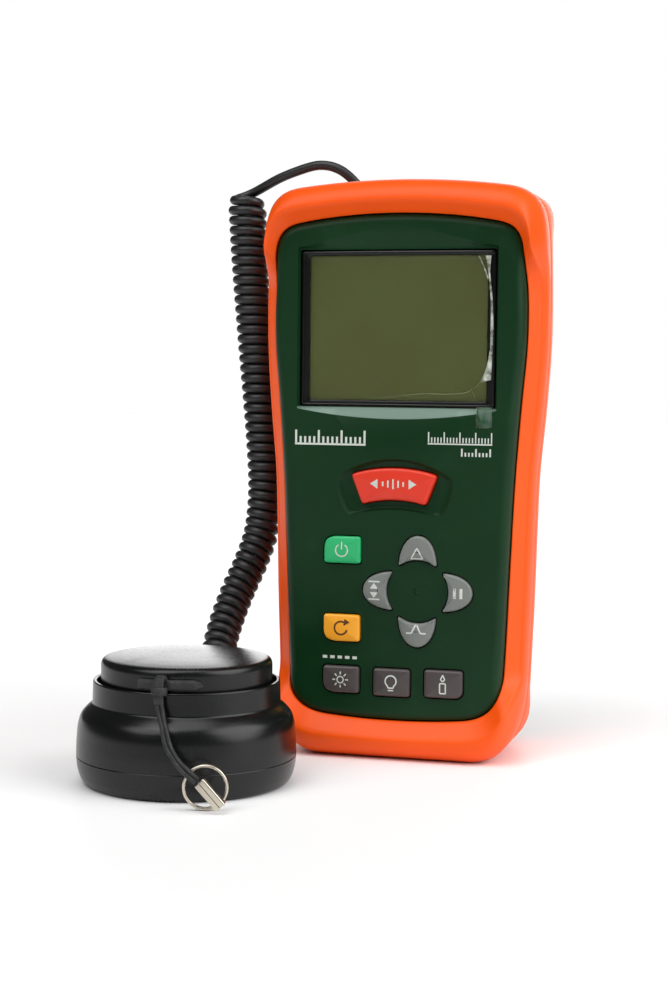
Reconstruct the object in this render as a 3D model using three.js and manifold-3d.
// Handheld light meter with a sensor head on a curly cord.
// Millimetres, +Z up, the display faces -Y. The origin is the middle of the meter's flat bottom.
import * as THREE from 'three';
import Module from 'manifold-3d';
import { mergeVertices } from 'three/addons/utils/BufferGeometryUtils.js';

const wasm = await Module();
wasm.setup();

// ---- driving dimensions -------------------------------------------------------------
const HEIGHT = 150;            // meter, table to top of the boot
const HALF_WIDTH = 37.6;       // widest point of the boot
const FRONT_Y = -20;           // crest of the front boot
const BACK_Y = 20;             // rim of the rear boot
const PANEL_Y = -17;           // front panel's surface
const BACK_PANEL_Y = 19.2;     // rear shell's outer surface
const GAP = 0.3;               // clearance between neighbouring pieces
const BOOT_WALL = 2.6;         // rubber boot over the shell's side
const SHELL_WALL = 1.8;        // moulded case wall
const BOOT_SPLIT_Y = -3.4;     // parting line between the front and rear boots
const SHELL_SPLIT_Y = -3.0;    // parting line between the two shells

const KEY_PROUD = 1.0;         // a key's face stands this far above the panel
const KEY_FLANGE_Y = PANEL_Y + 2.3;
const KEY_FOOT_Y = PANEL_Y + 2.9;
const FLANGE = 0.8;            // how far a key's flange reaches past its hole
const KEY_CLEARANCE = 0.35;

const LCD = { x: 25.9, bottom: 91.4, top: 131.8 };    // opening in the panel
const LCD_RECESS = 0.8;
const FIELD_HALF_WIDTH = 26.2;                        // sunken field round the display

const SENSOR = { x: -42.2, y: -55.5, radius: 26.9 };  // sensor head on the table
const CORD_RADIUS = 1.3;
const COIL_RADIUS = 4.9;

const SHELL_INSET = BOOT_WALL + GAP;
const CAVITY_INSET = SHELL_INSET + SHELL_WALL;
const V2 = (x, z) => new THREE.Vector2(x, z);
const V3 = (x, y, z) => new THREE.Vector3(x, y, z);

// ---- solids ------------------------------------------------------------------------
function solidOf(geometry) {
  const bare = geometry.clone();
  bare.deleteAttribute('normal');
  bare.deleteAttribute('uv');
  const merged = mergeVertices(bare, 1e-4);
  return new wasm.Manifold(new wasm.Mesh({
    numProp: 3,
    vertProperties: new Float32Array(merged.attributes.position.array),
    triVerts: new Uint32Array(merged.index.array),
  }));
}

function geometryOf(solid) {
  const mesh = solid.getMesh();
  const geometry = new THREE.BufferGeometry();
  geometry.setAttribute('position', new THREE.BufferAttribute(mesh.vertProperties, 3));
  geometry.setIndex(new THREE.BufferAttribute(mesh.triVerts, 1));
  return geometry;
}

const joined = (...parts) => geometryOf(parts.map(solidOf).reduce((a, b) => a.add(b)));
const cut = (body, ...tools) =>
  geometryOf(tools.map(solidOf).reduce((a, b) => a.subtract(b), solidOf(body)));

// Skin a stack of rings that all have the same number of points. An open stack gets a flat
// lid at each end; a closed stack joins its last ring to its first, like a picture frame.
function loft(rings, closed = false) {
  const count = rings[0].length;
  const points = rings.flat();
  const faces = [];
  const spans = closed ? rings.length : rings.length - 1;
  for (let r = 0; r < spans; r += 1) {
    const low = r * count;
    const high = ((r + 1) % rings.length) * count;
    for (let i = 0; i < count; i += 1) {
      const j = (i + 1) % count;
      faces.push(low + i, low + j, high + j, low + i, high + j, high + i);
    }
  }
  if (!closed) {
    const contour = rings[0].map((p) => V2(p.x, p.z));
    const last = (rings.length - 1) * count;
    for (const [a, b, c] of THREE.ShapeUtils.triangulateShape(contour, [])) {
      faces.push(a, c, b);
      faces.push(last + a, last + b, last + c);
    }
  }
  const geometry = new THREE.BufferGeometry().setFromPoints(points);
  geometry.setIndex(volumeOf(points, faces) < 0 ? faces.reverse() : faces);
  return geometry;
}

function volumeOf(points, faces) {
  let total = 0;
  for (let i = 0; i < faces.length; i += 3) {
    const [a, b, c] = [points[faces[i]], points[faces[i + 1]], points[faces[i + 2]]];
    total += a.dot(b.clone().cross(c));
  }
  return total;
}

// Outlines are lists of (x, z) points, counter-clockwise, drawn on the panel's plane.
const at = (outline, y) => outline.map((p) => V3(p.x, y, p.y));
const prism = (outline, fromY, toY) => loft([at(outline, fromY), at(outline, toY)]);
const moved = (outline, x, z) => outline.map((p) => V2(p.x + x, p.y + z));

// Move every point of an outline outward by the same distance.
function grow(outline, distance) {
  return outline.map((p, i) => {
    const before = outline[(i + outline.length - 1) % outline.length];
    const after = outline[(i + 1) % outline.length];
    const a = p.clone().sub(before).normalize();
    const b = after.clone().sub(p).normalize();
    const middle = V2(a.y + b.y, -a.x - b.x).normalize();
    const stretch = 1 / Math.max(0.7, middle.dot(V2(a.y, -a.x)));
    return p.clone().addScaledVector(middle, distance * stretch);
  });
}

function roundedBox(width, height, radius, steps = 3) {
  const [w, h] = [width / 2 - radius, height / 2 - radius];
  const corners = [[w, -h, -90], [w, h, 0], [-w, h, 90], [-w, -h, 180]];
  return corners.flatMap(([x, z, start]) => arc(x, z, radius, start, start + 90, steps));
}

function arc(x, z, radius, fromDeg, toDeg, steps) {
  return Array.from({ length: steps + 1 }, (_, i) => {
    const angle = THREE.MathUtils.degToRad(fromDeg + (toDeg - fromDeg) * i / steps);
    return V2(x + radius * Math.cos(angle), z + radius * Math.sin(angle));
  });
}

function box(x0, x1, y0, y1, z0, z1) {
  const geometry = new THREE.BoxGeometry(x1 - x0, y1 - y0, z1 - z0);
  return geometry.translate((x0 + x1) / 2, (y0 + y1) / 2, (z0 + z1) / 2);
}

// A round bar along Y, X or Z.
function barY(radius, x, z, fromY, toY, sides = 20) {
  const geometry = new THREE.CylinderGeometry(radius, radius, toY - fromY, sides);
  return geometry.translate(x, (fromY + toY) / 2, z);
}

function barX(radius, y, z, fromX, toX, sides = 16) {
  const geometry = new THREE.CylinderGeometry(radius, radius, toX - fromX, sides).rotateZ(Math.PI / 2);
  return geometry.translate((fromX + toX) / 2, y, z);
}

function barZ(radius, x, y, fromZ, toZ, sides = 16) {
  const geometry = new THREE.CylinderGeometry(radius, radius, toZ - fromZ, sides).rotateX(Math.PI / 2);
  return geometry.translate(x, y, (fromZ + toZ) / 2);
}

// A turned piece about +Z from (radius, height) pairs. `open` profiles close on themselves.
function turned(profile, segments = 36) {
  const closed = profile[0][0] > 0 ? [...profile, profile[0]] : profile;
  const geometry = new THREE.LatheGeometry(closed.map(([r, z]) => V2(r, z)), segments);
  return geometryOf(solidOf(geometry.rotateX(Math.PI / 2)));
}

// A straight-sided sweep of a round section along a curve.
function swept(points, radius, steps, sides = 8) {
  const path = new THREE.CatmullRomCurve3(points.map((p) => V3(...p)), false, 'centripetal');
  const section = new THREE.Shape(arc(0, 0, radius, 0, 360 - 360 / sides, sides - 1));
  return new THREE.ExtrudeGeometry(section, { steps, extrudePath: path, curveSegments: 1 });
}

// ---- outlines of the meter -----------------------------------------------------------
// Both outlines run counter-clockwise from bottom centre through the same five stretches, so
// point i of one faces point i of the other and every section can be drawn between them.
const line = (a, b) => new THREE.LineCurve(V2(...a), V2(...b));
const bend = (a, b, c, d) => new THREE.CubicBezierCurve(V2(...a), V2(...b), V2(...c), V2(...d));
const through = (...points) => new THREE.SplineCurve(points.map((p) => V2(...p)));
const STRETCH_STEPS = [3, 6, 12, 6, 4];

function outlineFrom(stretches) {
  const right = stretches.flatMap((curve, i) => curve.getSpacedPoints(STRETCH_STEPS[i]).slice(0, -1));
  const top = stretches.at(-1).getPoint(1);
  const left = right.slice(1).reverse().map((p) => V2(-p.x, p.y));
  return [...right, top, ...left];
}

const BOOT = outlineFrom([
  line([0, 0], [20, 0]),
  bend([20, 0], [29, 0], [32.9, 7], [33.5, 22]),
  through([33.5, 22], [34.2, 42], [34.6, 60], [35.1, 75], [36.4, 90], [37.4, 105],
    [HALF_WIDTH, 118], [37.3, 131]),
  bend([37.3, 131], [37, 141.5], [36, 146.8], [28, 148.2]),
  bend([28, 148.2], [18, 149.5], [9, HEIGHT], [0, HEIGHT]),
]);

const PANEL = outlineFrom([
  bend([0, 10.4], [6, 10.4], [11, 10.6], [17.5, 11.2]),
  bend([17.5, 11.2], [24, 11.8], [28, 14.6], [28.4, 22.5]),
  through([28.4, 22.5], [28.9, 33], [29.6, 52], [30.5, 73], [31.8, 92], [33, 106], [33.2, 117],
    [32.5, 129]),
  bend([32.5, 129], [32.2, 135], [31, 137.6], [25.5, 138.6]),
  bend([25.5, 138.6], [17, 140.2], [8, 140.8], [0, 140.8]),
]);

// How far a height belongs to the receding sides: 1 between the proud top and foot, 0 on them.
const SIDE = { low: [10, 24], high: [123, 135] };
const sideness = (z) =>
  THREE.MathUtils.smoothstep(z, ...SIDE.low) * (1 - THREE.MathUtils.smoothstep(z, ...SIDE.high));

// A section is [inset, share, y]: a ring at depth y, a fixed inset from the boot's outline plus a
// share of the way to the panel's. The sides may follow a section of their own.
function ring(section, sideSection) {
  return BOOT.map((outer, i) => {
    const blend = sideness(outer.y);
    const [inset, share, y] = section.map((v, k) => THREE.MathUtils.lerp(v, sideSection[k], blend));
    const reach = outer.distanceTo(PANEL[i]);
    const p = outer.clone().lerp(PANEL[i], inset / reach + share);
    return V3(p.x, y, p.y);
  });
}
const rings = (sections, sides = sections) => sections.map((section, i) => ring(section, sides[i]));

// ---- key outlines ----------------------------------------------------------------------
const KEY_COLUMN_X = -13.5;
const KEY_SIZE = { width: 9.7, height: 7.0, corner: 0.9, cut: 2.2 };
const PAD = { x: 6.5, z: 44.2, reach: 14.4, arcRadius: 8.2 };

function rangeOutline() {
  const top = new THREE.QuadraticBezierCurve(V2(11.3, 74.1), V2(0, 77.6), V2(-11.3, 74.1));
  const bottom = new THREE.QuadraticBezierCurve(V2(-8.3, 66.4), V2(0, 69.2), V2(8.3, 66.4));
  return [...bottom.getPoints(6), ...top.getPoints(8)];
}

// A key of the left column with one corner cut across: the corner is named by its signs.
function cutCornerOutline(cutX, cutZ, z) {
  const { width, height, corner, cut: size } = KEY_SIZE;
  const outline = roundedBox(width, height, corner, 2).map((p) => {
    const past = p.x * cutX + p.y * cutZ - (width / 2 + height / 2 - size);
    return past > 0 ? V2(p.x - cutX * past / 2, p.y - cutZ * past / 2) : p;
  });
  return moved(outline, KEY_COLUMN_X, z);
}

// A pointed arch whose hollow foot follows a circle about the pad's centre.
function padOutline(turnDeg) {
  const half = 37;
  const foot = arc(0, 0, PAD.arcRadius, 90 + half, 90 - half, 5);
  const corner = foot.at(-1);
  const side = new THREE.CubicBezierCurve(
    corner, V2(corner.x, 10.4), V2(3.2, PAD.reach), V2(0.6, PAD.reach));
  const right = side.getPoints(6).slice(1);
  const left = right.map((p) => V2(-p.x, p.y)).reverse();
  const turn = THREE.MathUtils.degToRad(turnDeg);
  return [...foot, ...right, ...left].map((p) => p.clone().rotateAround(V2(0, 0), turn));
}

const KEYS = [
  { name: 'key_range', outline: rangeOutline(), slot: 'key_red' },
  { name: 'key_power', outline: cutCornerOutline(-1, 1, 54.4), slot: 'key_green' },
  { name: 'key_reset', outline: cutCornerOutline(-1, -1, 34.0), slot: 'key_amber' },
  { name: 'key_backlight', outline: cutCornerOutline(-1, -1, 20.5), slot: 'key_dark' },
  { name: 'key_lux', outline: moved(roundedBox(9.7, 7.2, 0.9, 2), 0, 20.3), slot: 'key_dark' },
  { name: 'key_foot_candle', outline: moved(roundedBox(10.1, 7.2, 0.9, 2), 13.7, 20.6), slot: 'key_dark' },
  { name: 'key_relative', outline: moved(padOutline(0), PAD.x, PAD.z), slot: 'key_grey' },
  { name: 'key_max_min', outline: moved(padOutline(90), PAD.x, PAD.z), slot: 'key_grey' },
  { name: 'key_peak', outline: moved(padOutline(180), PAD.x, PAD.z), slot: 'key_grey' },
  { name: 'key_hold', outline: moved(padOutline(270), PAD.x, PAD.z), slot: 'key_grey' },
].map((key) => ({ ...key, outline: counterClockwise(key.outline) }));

// The same outline, turned counter-clockwise if it runs the other way.
function counterClockwise(outline) {
  return THREE.ShapeUtils.isClockWise(outline) ? outline.slice().reverse() : outline;
}

// ---- materials ---------------------------------------------------------------------
const FINISHES = {
  boot_rubber: ['#ff5a1e', 0.55, 0],
  green_plastic: ['#183c28', 0.5, 0],
  black_plastic: ['#1c1c1d', 0.45, 0],
  clear_window: ['#a9b3a0', 0.1, 0],
  lcd_glass: ['#58623a', 0.25, 0],
  white_plastic: ['#e8e8e0', 0.6, 0],
  zebra_rubber: ['#b7a5a0', 0.8, 0],
  circuit_board: ['#1f6a35', 0.6, 0],
  keypad_silicone: ['#8f8f8c', 0.8, 0],
  key_red: ['#fa2d19', 0.5, 0],
  key_green: ['#1ea055', 0.5, 0],
  key_amber: ['#faa528', 0.5, 0],
  key_grey: ['#7d827d', 0.5, 0],
  key_dark: ['#554e4e', 0.5, 0],
  battery_case: ['#2b2f3a', 0.35, 0.2],
  steel: ['#b9b9b6', 0.3, 1],
  brass_insert: ['#b8923f', 0.35, 1],
  cord_rubber: ['#343436', 0.6, 0],
  sensor_plastic: ['#333335', 0.45, 0],
  strap_leather: ['#262627', 0.75, 0],
  sensor_diffuser: ['#f2f1ea', 0.5, 0],
  filter_glass: ['#6d8f5f', 0.1, 0],
  detector: ['#20242c', 0.2, 0],
};

function material(slot) {
  const [color, roughness, metalness] = FINISHES[slot];
  return new THREE.MeshStandardMaterial({ color, roughness, metalness });
}

const group = new THREE.Group();
function addTo(parent, name, geometry, slot) {
  const mesh = new THREE.Mesh(geometry, material(slot));
  mesh.name = name;
  parent.add(mesh);
  return mesh;
}
const add = (name, geometry, slot) => addTo(group, name, geometry, slot);

// ---- boots -------------------------------------------------------------------------
function frontBoot() {
  return loft(rings([
    [0, 0, BOOT_SPLIT_Y], [0, 0, -13], [0.8, 0, -16.7], [2.2, 0, -18.9], [1.5, 0.28, FRONT_Y],
    [0, 0.8, -19.2], [-0.45, 1, -17.4], [-0.45, 1, -14.1], [BOOT_WALL, 0, -13.5],
    [BOOT_WALL, 0, BOOT_SPLIT_Y],
  ], [
    [0, 0, BOOT_SPLIT_Y], [0.25, 0, -6.4], [0.8, 0, -8.6], [1.5, 0, -9.6], [0.9, 0.4, -10.8],
    [0.2, 0.75, -12.1], [-0.45, 1, -13.1], [-0.45, 1, -10.2], [BOOT_WALL, 0, -8.9],
    [BOOT_WALL, 0, BOOT_SPLIT_Y],
  ]), true);
}

// The cord's outlet: where its gland's axis crosses the rear boot, up and to the left.
const OUTLET = V3(-14.6, 8.5, 148);
const OUTLET_DIRECTION = V3(-1, 0, 1).normalize();
const GLAND_RADIUS = 3.2;

function alongOutlet(geometry) {
  const turn = new THREE.Quaternion().setFromUnitVectors(V3(0, 0, 1), OUTLET_DIRECTION);
  return geometry.applyQuaternion(turn).translate(OUTLET.x, OUTLET.y, OUTLET.z);
}

const outletHole = () => alongOutlet(barZ(GLAND_RADIUS + GAP, 0, 0, -7.5, 8, 20));

function rearBoot() {
  const body = loft(rings([
    [0, 0, BOOT_SPLIT_Y + GAP], [0, 0, 9], [0.8, 0, 14], [2.2, 0, 17.6], [3.6, 0, 19.4],
    [4.4, 0, BACK_Y], [5.9, 0, BACK_Y], [5.9, 0, 15.8], [BOOT_WALL, 0, 11.7],
    [BOOT_WALL, 0, BOOT_SPLIT_Y + GAP],
  ], [
    [0, 0, BOOT_SPLIT_Y + GAP], [1.3, 0, 9], [2.3, 0, 13.5], [3.2, 0, 17], [4.4, 0, 19.4],
    [5, 0, BACK_Y], [5.9, 0, BACK_Y], [5.9, 0, 15.8], [3.4, 0, 8.5],
    [BOOT_WALL, 0, BOOT_SPLIT_Y + GAP],
  ]), true);
  return cut(body, outletHole());
}

add('front_boot', frontBoot(), 'boot_rubber');
add('rear_boot', rearBoot(), 'boot_rubber');

// ---- case shells --------------------------------------------------------------------
// Four screws hold the shells together, one in each corner: x, z, and where its post begins.
const SCREWS = [
  [26.2, 135.5, -13], [-26.2, 135.5, -13], [23.4, 28, PANEL_Y + 1.8], [-23.4, 28, PANEL_Y + 1.8],
];
const SCREW = { headRadius: 2.6, headY: 16.9, shankRadius: 1.3, tipY: -11 };

// A rounded rectangle centred on x = 0, from its half-width and its two heights.
function screenFrame(x, bottom, top, radius = 0.8) {
  return moved(roundedBox(x * 2, top - bottom, radius, 2), 0, (top + bottom) / 2);
}

// Shallow dished field round the range key, bowed like its outline.
function rangeDish() {
  const top = new THREE.QuadraticBezierCurve(V2(15.3, 73), V2(0, 82.6), V2(-15.3, 73));
  const bottom = new THREE.QuadraticBezierCurve(V2(-11.6, 63.6), V2(0, 67), V2(11.6, 63.6));
  return [...bottom.getPoints(6), V2(14.3, 67), ...top.getPoints(8), V2(-14.3, 67)];
}

// Sunken field round the display: straight sides with a bowed top and bottom.
function displayField() {
  const x = FIELD_HALF_WIDTH;
  const top = new THREE.QuadraticBezierCurve(V2(x, 132.2), V2(0, 139.2), V2(-x, 132.2));
  const bottom = new THREE.QuadraticBezierCurve(V2(-x, 90.9), V2(0, 85.8), V2(x, 90.9));
  return [...bottom.getPoints(8), ...top.getPoints(8)];
}

const displayHole = () => screenFrame(LCD.x, LCD.bottom, LCD.top, 1);

function frontShell() {
  const outer = loft(rings([
    [0.5, 1, PANEL_Y], [0.2, 1, -16.8], [0, 1, -16.4], [0, 1, -13.8], [SHELL_INSET, 0, -13.2],
    [SHELL_INSET, 0, SHELL_SPLIT_Y],
  ], [
    [2.4, 1, PANEL_Y], [0.7, 1, -15.9], [0, 1, -13.4], [0, 1, -9.9], [SHELL_INSET, 0, -8.6],
    [SHELL_INSET, 0, SHELL_SPLIT_Y],
  ]));
  const cavity = loft(rings([
    [SHELL_WALL, 1, PANEL_Y + 2], [SHELL_WALL, 1, -12], [CAVITY_INSET, 0, -11.4],
    [CAVITY_INSET, 0, SHELL_SPLIT_Y + 1],
  ], [
    [3.2, 1, PANEL_Y + 2], [SHELL_WALL, 1, -9], [CAVITY_INSET, 0, -7.6],
    [CAVITY_INSET, 0, SHELL_SPLIT_Y + 1],
  ]));
  const posts = SCREWS.map(([x, z, postY]) => barY(3.6, x, z, postY, SHELL_SPLIT_Y));
  const pilots = SCREWS.map(([x, z]) => barY(SCREW.shankRadius + GAP, x, z, -13.4, SHELL_SPLIT_Y + 1, 16));
  const holes = KEYS.map((key) => prism(grow(key.outline, KEY_CLEARANCE), PANEL_Y - 1, PANEL_Y + 3));
  return cut(
    joined(cut(outer, cavity), ...posts),
    ...pilots,
    ...holes,
    prism(rangeDish(), PANEL_Y - 1, PANEL_Y + 0.5),
    prism(displayField(), PANEL_Y - 1, PANEL_Y + LCD_RECESS),
    prism(displayHole(), PANEL_Y - 1, PANEL_Y + 3),
  );
}

const BAY = { x: 15, bottom: 12, top: 66.4, floorY: -1.5, ledgeY: 16.9, wall: 1.2 };
const DOOR = { x: 17.2, bottom: 9.9, top: 67, thickness: 2 };
const STAND = { x: 17, bottom: 79, pivotY: 17.3, pivotZ: 124.5, barrel: 1.7, stub: 1.1 };
const INSERT = { z: 72, radius: 4.1, innerY: 9.5 };

function rearShell() {
  // Listed from the back forwards, like the boot's inner face, so the facets of the two match.
  const outer = loft(rings([
    [6.9, 0, BACK_PANEL_Y], [6.2, 0, 18.4], [6.2, 0, 15.4], [SHELL_INSET, 0, 11.4],
    [SHELL_INSET, 0, SHELL_SPLIT_Y + GAP],
  ], [
    [6.9, 0, BACK_PANEL_Y], [6.2, 0, 18.4], [6.2, 0, 15.4], [3.7, 0, 8.2],
    [SHELL_INSET, 0, SHELL_SPLIT_Y + GAP],
  ]));
  const cavity = loft(rings([
    [CAVITY_INSET, 0, SHELL_SPLIT_Y - 1], [CAVITY_INSET, 0, 10.8], [8, 0, 14.6], [8, 0, 17.2],
  ], [
    [CAVITY_INSET, 0, SHELL_SPLIT_Y - 1], [5.5, 0, 7.6], [8, 0, 14.6], [8, 0, 17.2],
  ]));
  const frontY = SHELL_SPLIT_Y + GAP;
  const bayX = BAY.x + BAY.wall;
  const bayOuter = box(-bayX, bayX, frontY, 17.5, BAY.bottom - BAY.wall, BAY.top + BAY.wall);
  const standBacking = box(-19.9, 19.9, 13, 17.5, 76.4, 129.2);
  const insertBoss = barY(6.2, 0, INSERT.z, 8, 17.5, 24);
  const bosses = SCREWS.map(([x, z]) => barY(3.8, x, z, frontY, 17.5));
  const body = joined(cut(outer, cavity), bayOuter, standBacking, insertBoss, ...bosses);
  const stubY = STAND.pivotY;
  return cut(
    body,
    box(-BAY.x, BAY.x, BAY.floorY, 18, BAY.bottom, BAY.top),
    box(-DOOR.x, DOOR.x, BAY.ledgeY, 21, DOOR.bottom, DOOR.top),
    box(-STAND.x - 0.5, STAND.x + 0.5, 16.9, 21, STAND.bottom - 0.6, STAND.pivotZ + 2.4),
    barX(STAND.barrel + 0.4, stubY, STAND.pivotZ, -STAND.x - 0.5, STAND.x + 0.5),
    barX(STAND.stub + 0.1, stubY, STAND.pivotZ, -STAND.x - 2, STAND.x + 2),
    barY(INSERT.radius + GAP, 0, INSERT.z, INSERT.innerY - GAP, 21, 24),
    ...SCREWS.map(([x, z]) => barY(3, x, z, 16.6, 21, 16)),
    ...SCREWS.map(([x, z]) => barY(SCREW.shankRadius + GAP, x, z, -4, 21, 16)),
    outletHole(),
  );
}

add('front_shell', frontShell(), 'green_plastic');
add('rear_shell', rearShell(), 'green_plastic');

SCREWS.forEach(([x, z], i) => {
  const head = barY(SCREW.headRadius, x, z, SCREW.headY, SCREW.headY + 1.6, 16);
  const shank = barY(SCREW.shankRadius, x, z, SCREW.tipY, SCREW.headY + 0.5, 10);
  const slotY = SCREW.headY + 0.8;
  const slots = [[1.8, 0.3], [0.3, 1.8]].map(([w, h]) => box(x - w, x + w, slotY, 20, z - h, z + h));
  add(`case_screw_${i + 1}`, cut(joined(head, shank), ...slots), 'steel');
});

// ---- display ------------------------------------------------------------------------
add('lcd_bezel', cut(
  prism(screenFrame(25.6, 91.7, 131.5), -16.1, -14.5),
  prism(screenFrame(23.1, 93.2, 130.2), -17, -14),
  prism(screenFrame(23.7, 92.6, 130.8), -15.5, -14),
), 'black_plastic');
add('lcd_window', prism(screenFrame(23.4, 92.9, 130.5), -15.2, -14.4), 'clear_window');
add('screen_film', prism(screenFrame(22.8, 93.5, 129.9), -15.8, -15.5), 'clear_window');
add('lcd_glass', box(-24.5, 24.5, -14.1, -12.9, 87.5, 131.5), 'lcd_glass');
add('lcd_backlight', box(-24, 24, -12.6, -9.7, 91.2, 131), 'white_plastic');
add('zebra_strip', box(-22, 22, -12.6, -9.7, 88.2, 90.6), 'zebra_rubber');

// ---- electronics and keypad -------------------------------------------------------------
const boardOutline = [
  V2(-18.4, 13), V2(18.4, 13), V2(18.4, 84), V2(25.3, 84), V2(25.3, 131), V2(-25.3, 131),
  V2(-25.3, 84), V2(-18.4, 84),
];
add('main_board', prism(boardOutline, -9.4, -7.8), 'circuit_board');
add('keypad_mat', prism(screenFrame(18.2, 14, 80, 1.5), -12.9, -9.7), 'keypad_silicone');

for (const { name, outline, slot } of KEYS) {
  const faceY = PANEL_Y - KEY_PROUD;
  add(name, loft([
    at(grow(outline, FLANGE), KEY_FOOT_Y), at(grow(outline, FLANGE), KEY_FLANGE_Y),
    at(outline, KEY_FLANGE_Y - 0.05), at(outline, faceY + 0.35), at(grow(outline, -0.4), faceY),
  ]), slot);
}

// ---- battery, door, stand and tripod insert --------------------------------------------
const BATTERY = { x: 13.25, frontY: -1.2, backY: 16.3, bottom: 12.3, top: 58.7 };
const TERMINALS = [[-6.35, 2.8], [6.35, 3.7]];
const terminalY = (BATTERY.frontY + BATTERY.backY) / 2;
add('battery', joined(
  box(-BATTERY.x, BATTERY.x, BATTERY.frontY, BATTERY.backY, BATTERY.bottom, BATTERY.top),
  ...TERMINALS.map(([x, r]) => barZ(r, x, terminalY, BATTERY.top - 0.5, BATTERY.top + 2, 12)),
), 'battery_case');
add('battery_snap', cut(
  box(-12.4, 12.4, terminalY - 5.5, terminalY + 5.5, BATTERY.top + GAP, 64),
  ...TERMINALS.map(([x, r]) => barZ(r + GAP, x, terminalY, BATTERY.top - 1, BATTERY.top + 2.3, 12)),
), 'black_plastic');

const doorOutline = screenFrame(DOOR.x - GAP, DOOR.bottom + GAP, DOOR.top - GAP, 0.6);
add('battery_door', cut(
  prism(doorOutline, BACK_PANEL_Y - DOOR.thickness, BACK_PANEL_Y),
  ...[0, 1, 2, 3].map((i) => box(-7, 7, BACK_PANEL_Y - 0.7, 20, 14 + 2.2 * i, 15 + 2.2 * i)),
), 'green_plastic');

function tiltStand() {
  const plate = box(-STAND.x, STAND.x, 17.3, 19, STAND.bottom, STAND.pivotZ);
  const barrel = barX(STAND.barrel, STAND.pivotY, STAND.pivotZ, -STAND.x, STAND.x);
  const stubs = barX(STAND.stub, STAND.pivotY, STAND.pivotZ, -STAND.x - 1.6, STAND.x + 1.6, 12);
  const ribs = [0, 1, 2].map((i) => box(-10, 10, 18.3, 20, 83 + 3 * i, 84.2 + 3 * i));
  return cut(joined(plate, barrel, stubs), ...ribs);
}
add('tilt_stand', tiltStand(), 'green_plastic');
add('tripod_insert', cut(
  barY(INSERT.radius, 0, INSERT.z, INSERT.innerY, 19, 20),
  barY(3, 0, INSERT.z, INSERT.innerY + 1.2, 21, 20),
), 'brass_insert');

// ---- cord ---------------------------------------------------------------------------
add('cable_gland', alongOutlet(cut(
  turned([[0, -9.5], [4.2, -9.5], [4.2, -8.2], [GLAND_RADIUS, -8.2], [GLAND_RADIUS - 0.5, 0], [0, 0]], 20),
  barZ(0.9, 0, 0, -10, -6, 8),
)), 'cord_rubber');

// Straight lead from the outlet, over the top left shoulder, to the first turn of the coil.
const LEAD = [
  [-14.85, 8.5, 148.25], [-17.5, 8.5, 150.9], [-20.2, 8.5, 152.9], [-22.9, 8.5, 154.6],
  [-26.5, 8.5, 155.8], [-32.1, 8.6, 154.9], [-37.9, 8.6, 153.2], [-44.4, 8.5, 150.8],
  [-48.4, 8.2, 149.3],
];
add('cord_lead', swept(LEAD, CORD_RADIUS, 14), 'cord_rubber');

// Middle line of the close-wound coil, from the lead down behind the meter's left side to the
// back of the sensor head.
const COIL = [
  [-48.5, 8, 147.2], [-47.7, 8, 133.6], [-46.6, 8, 119.9], [-45.4, 8, 106.2], [-44.1, 8, 92.5],
  [-43, 8, 78.7], [-42.4, 7.5, 67.7], [-43, 6, 56.7], [-44.8, 3, 48.6], [-47.3, -1, 40.7],
  [-49, -5.5, 33], [-49.6, -9.5, 26.6], [-49.2, -13, 21.4],
];
add('cord_coil', swept(COIL, COIL_RADIUS, 30, 8), 'cord_rubber');

// Short straight end between the coil and the sensor head's strain relief.
const TAIL = [[-49.15, -13.25, 21.05], [-49, -15.4, 18.6], [-48.75, -18.2, 16.9], [-48.6, -21.5, 15.8]];
add('cord_tail', swept(TAIL, CORD_RADIUS, 5), 'cord_rubber');

// ---- sensor head ----------------------------------------------------------------------
const head = new THREE.Group();
head.position.set(SENSOR.x, SENSOR.y, 0);
group.add(head);
const addHead = (name, geometry, slot) => addTo(head, name, geometry, slot);

const SPLIT_Z = 6.7;
const HEAD_SCREWS = [30, 150, 270].map((deg) => {
  const angle = THREE.MathUtils.degToRad(deg);
  return [20.9 * Math.cos(angle), 20.9 * Math.sin(angle)];
});

// The strain relief leaves the head's back, a little to the left of its middle.
const RELIEF = { x: -6.4, y: 25.2, z: 12.6, length: 9, rise: 20 };
function alongRelief(geometry) {
  const tilt = THREE.MathUtils.degToRad(RELIEF.rise - 90);
  return geometry.rotateX(tilt).translate(RELIEF.x, RELIEF.y, RELIEF.z);
}

function sensorBase() {
  const cup = turned([
    [0, 0], [24.2, 0], [25.3, 0.7], [26.2, 2.3], [26.7, 4.4], [SENSOR.radius, SPLIT_Z],
    [24.9, SPLIT_Z], [24.4, 2.4], [0, 2.4],
  ]);
  const posts = HEAD_SCREWS.map(([x, y]) => barZ(3, x, y, 1.5, SPLIT_Z));
  const wells = HEAD_SCREWS.map(([x, y]) => barZ(2.4, x, y, -1, 2.1));
  const bores = HEAD_SCREWS.map(([x, y]) => barZ(1.4, x, y, -1, 8));
  return cut(joined(cup, ...posts), ...wells, ...bores);
}

function sensorBody() {
  const shell = turned([
    [SENSOR.radius, SPLIT_Z + GAP], [26.75, 9.5], [26.4, 14.6], [25.6, 17.2], [23.9, 18.9],
    [22.9, 19.7], [22.8, 25.2], [21.9, 25.2], [21.7, 20.1], [16.8, 20.1], [16.8, 18.2],
    [23, 18.2], [24.7, 15.5], [24.9, SPLIT_Z + GAP],
  ]);
  const posts = HEAD_SCREWS.map(([x, y]) => barZ(3, x, y, SPLIT_Z + GAP, 19));
  const bores = HEAD_SCREWS.map(([x, y]) => barZ(1.4, x, y, 5, 17));
  const inlet = alongRelief(barZ(2.6, 0, 0, -5, 4, 16));
  return cut(joined(shell, ...posts), ...bores, inlet);
}

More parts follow.
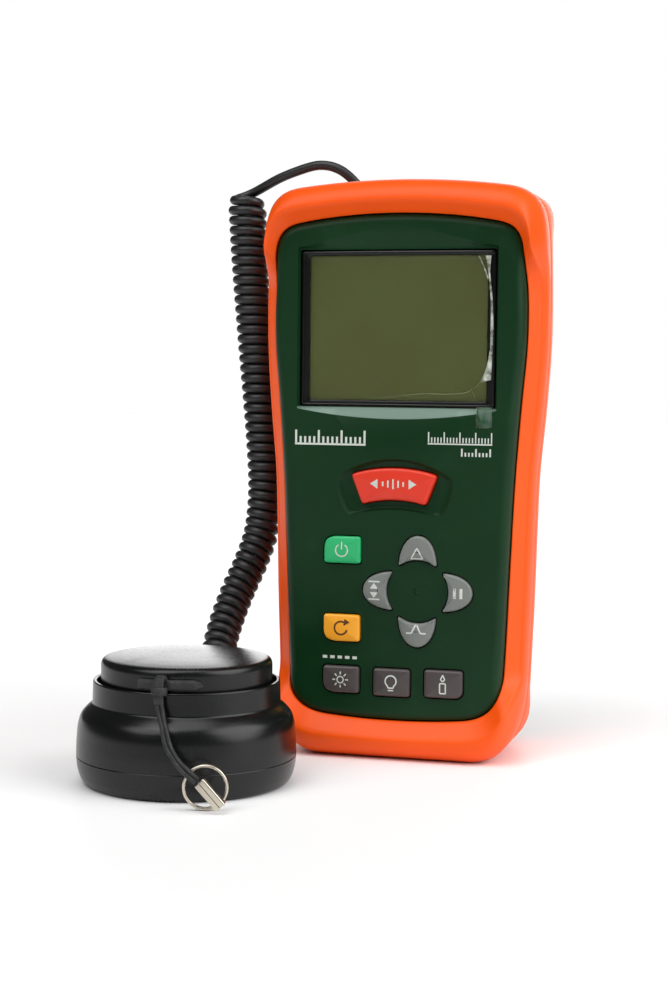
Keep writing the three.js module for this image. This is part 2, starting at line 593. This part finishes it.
addHead('sensor_base', sensorBase(), 'sensor_plastic');
addHead('sensor_body', sensorBody(), 'sensor_plastic');
HEAD_SCREWS.forEach(([x, y], i) => {
  const screw = joined(barZ(2.1, x, y, 0.5, 1.8, 14), barZ(1.1, x, y, 1.2, 15, 10));
  const slot = box(x - 1.5, x + 1.5, y - 0.3, y + 0.3, 0, 1);
  addHead(`sensor_screw_${i + 1}`, cut(screw, slot), 'steel');
});
addHead('sensor_relief', alongRelief(turned([
  [0, -4], [2.3, -4], [2.3, 3], [2.2, 4], [1.7, RELIEF.length], [0, RELIEF.length],
], 14)), 'cord_rubber');
addHead('sensor_board', turned([[0, 9.5], [17.4, 9.5], [17.4, 11.1], [0, 11.1]], 28), 'circuit_board');
addHead('photodiode', joined(
  turned([[0, 11.4], [5, 11.4], [5, 13.4], [0, 13.4]], 20), box(-2.5, 2.5, -2.5, 2.5, 13, 14.2),
), 'detector');
addHead('colour_filter', turned([[0, 14.5], [9, 14.5], [9, 16.5], [0, 16.5]], 28), 'filter_glass');
addHead('diffuser', turned([
  [0, 16.8], [17.5, 16.8], [17.5, 17.9], [16.3, 17.9], [16.3, 20.4], [14.6, 22.2], [10.5, 23.6],
  [5.5, 24.3], [0, 24.5],
]), 'sensor_diffuser');

// ---- sensor cap and its lanyard ----------------------------------------------------------
const CAP_RADIUS = 20.9;
addHead('sensor_cap', turned([
  [0, 29.4], [18.2, 29], [19.3, 28], [19.3, 20.4], [CAP_RADIUS, 20.4], [20.8, 28.3],
  [20.1, 29.8], [18.4, 30.7], [12, 31.2], [0, 31.4],
]), 'sensor_plastic');

// A band hugs the cap above the collar; its hook bends over the collar's lip to the strap.
function capClip() {
  const inner = CAP_RADIUS + GAP;
  const band = [...arc(0, 0, inner + 1.3, 262, 300, 8), ...arc(0, 0, inner, 300, 262, 8)];
  const shape = new THREE.Shape(band);
  const strip = new THREE.ExtrudeGeometry(shape, { depth: 2.2, bevelEnabled: false }).translate(0, 0, 25.9);
  const front = -inner;
  const bridge = box(0.6, 3.4, front - 3.7, front - 0.3, 25.9, 28.4);
  const drop = box(0.9, 3.1, front - 3.7, front - 2.2, 22.8, 26.2);
  return joined(strip, bridge, drop);
}
addHead('cap_clip', capClip(), 'strap_leather');

const STRAP = [
  [-40.2, -79.9, 22.4], [-39.2, -81, 20.6], [-37.9, -83, 18.4], [-36.3, -84.1, 14.4],
  [-33.4, -85.6, 11], [-30.7, -86.8, 9.1], [-27.95, -87, 7.4],
];
add('cap_strap', swept(STRAP, 0.8, 11), 'strap_leather');

const RING = { x: -27.1, y: -84.4, radius: 4.95, wire: 0.5, turnDeg: 15.5 };
const ringGeometry = new THREE.TorusGeometry(RING.radius, RING.wire, 6, 24)
  .rotateX(Math.PI / 2)
  .rotateZ(THREE.MathUtils.degToRad(RING.turnDeg))
  .translate(RING.x, RING.y, RING.radius + RING.wire);
add('split_ring', geometryOf(solidOf(ringGeometry)), 'steel');

const CRIMP = { length: 7.6, width: 2.9, depth: 1.6, tiltDeg: 46 };
const crimp = new THREE.BoxGeometry(CRIMP.length, CRIMP.depth, CRIMP.width)
  .rotateY(THREE.MathUtils.degToRad(CRIMP.tiltDeg))
  .translate(-25, -87, 4.4);
add('strap_crimp', crimp, 'steel');

export default group;
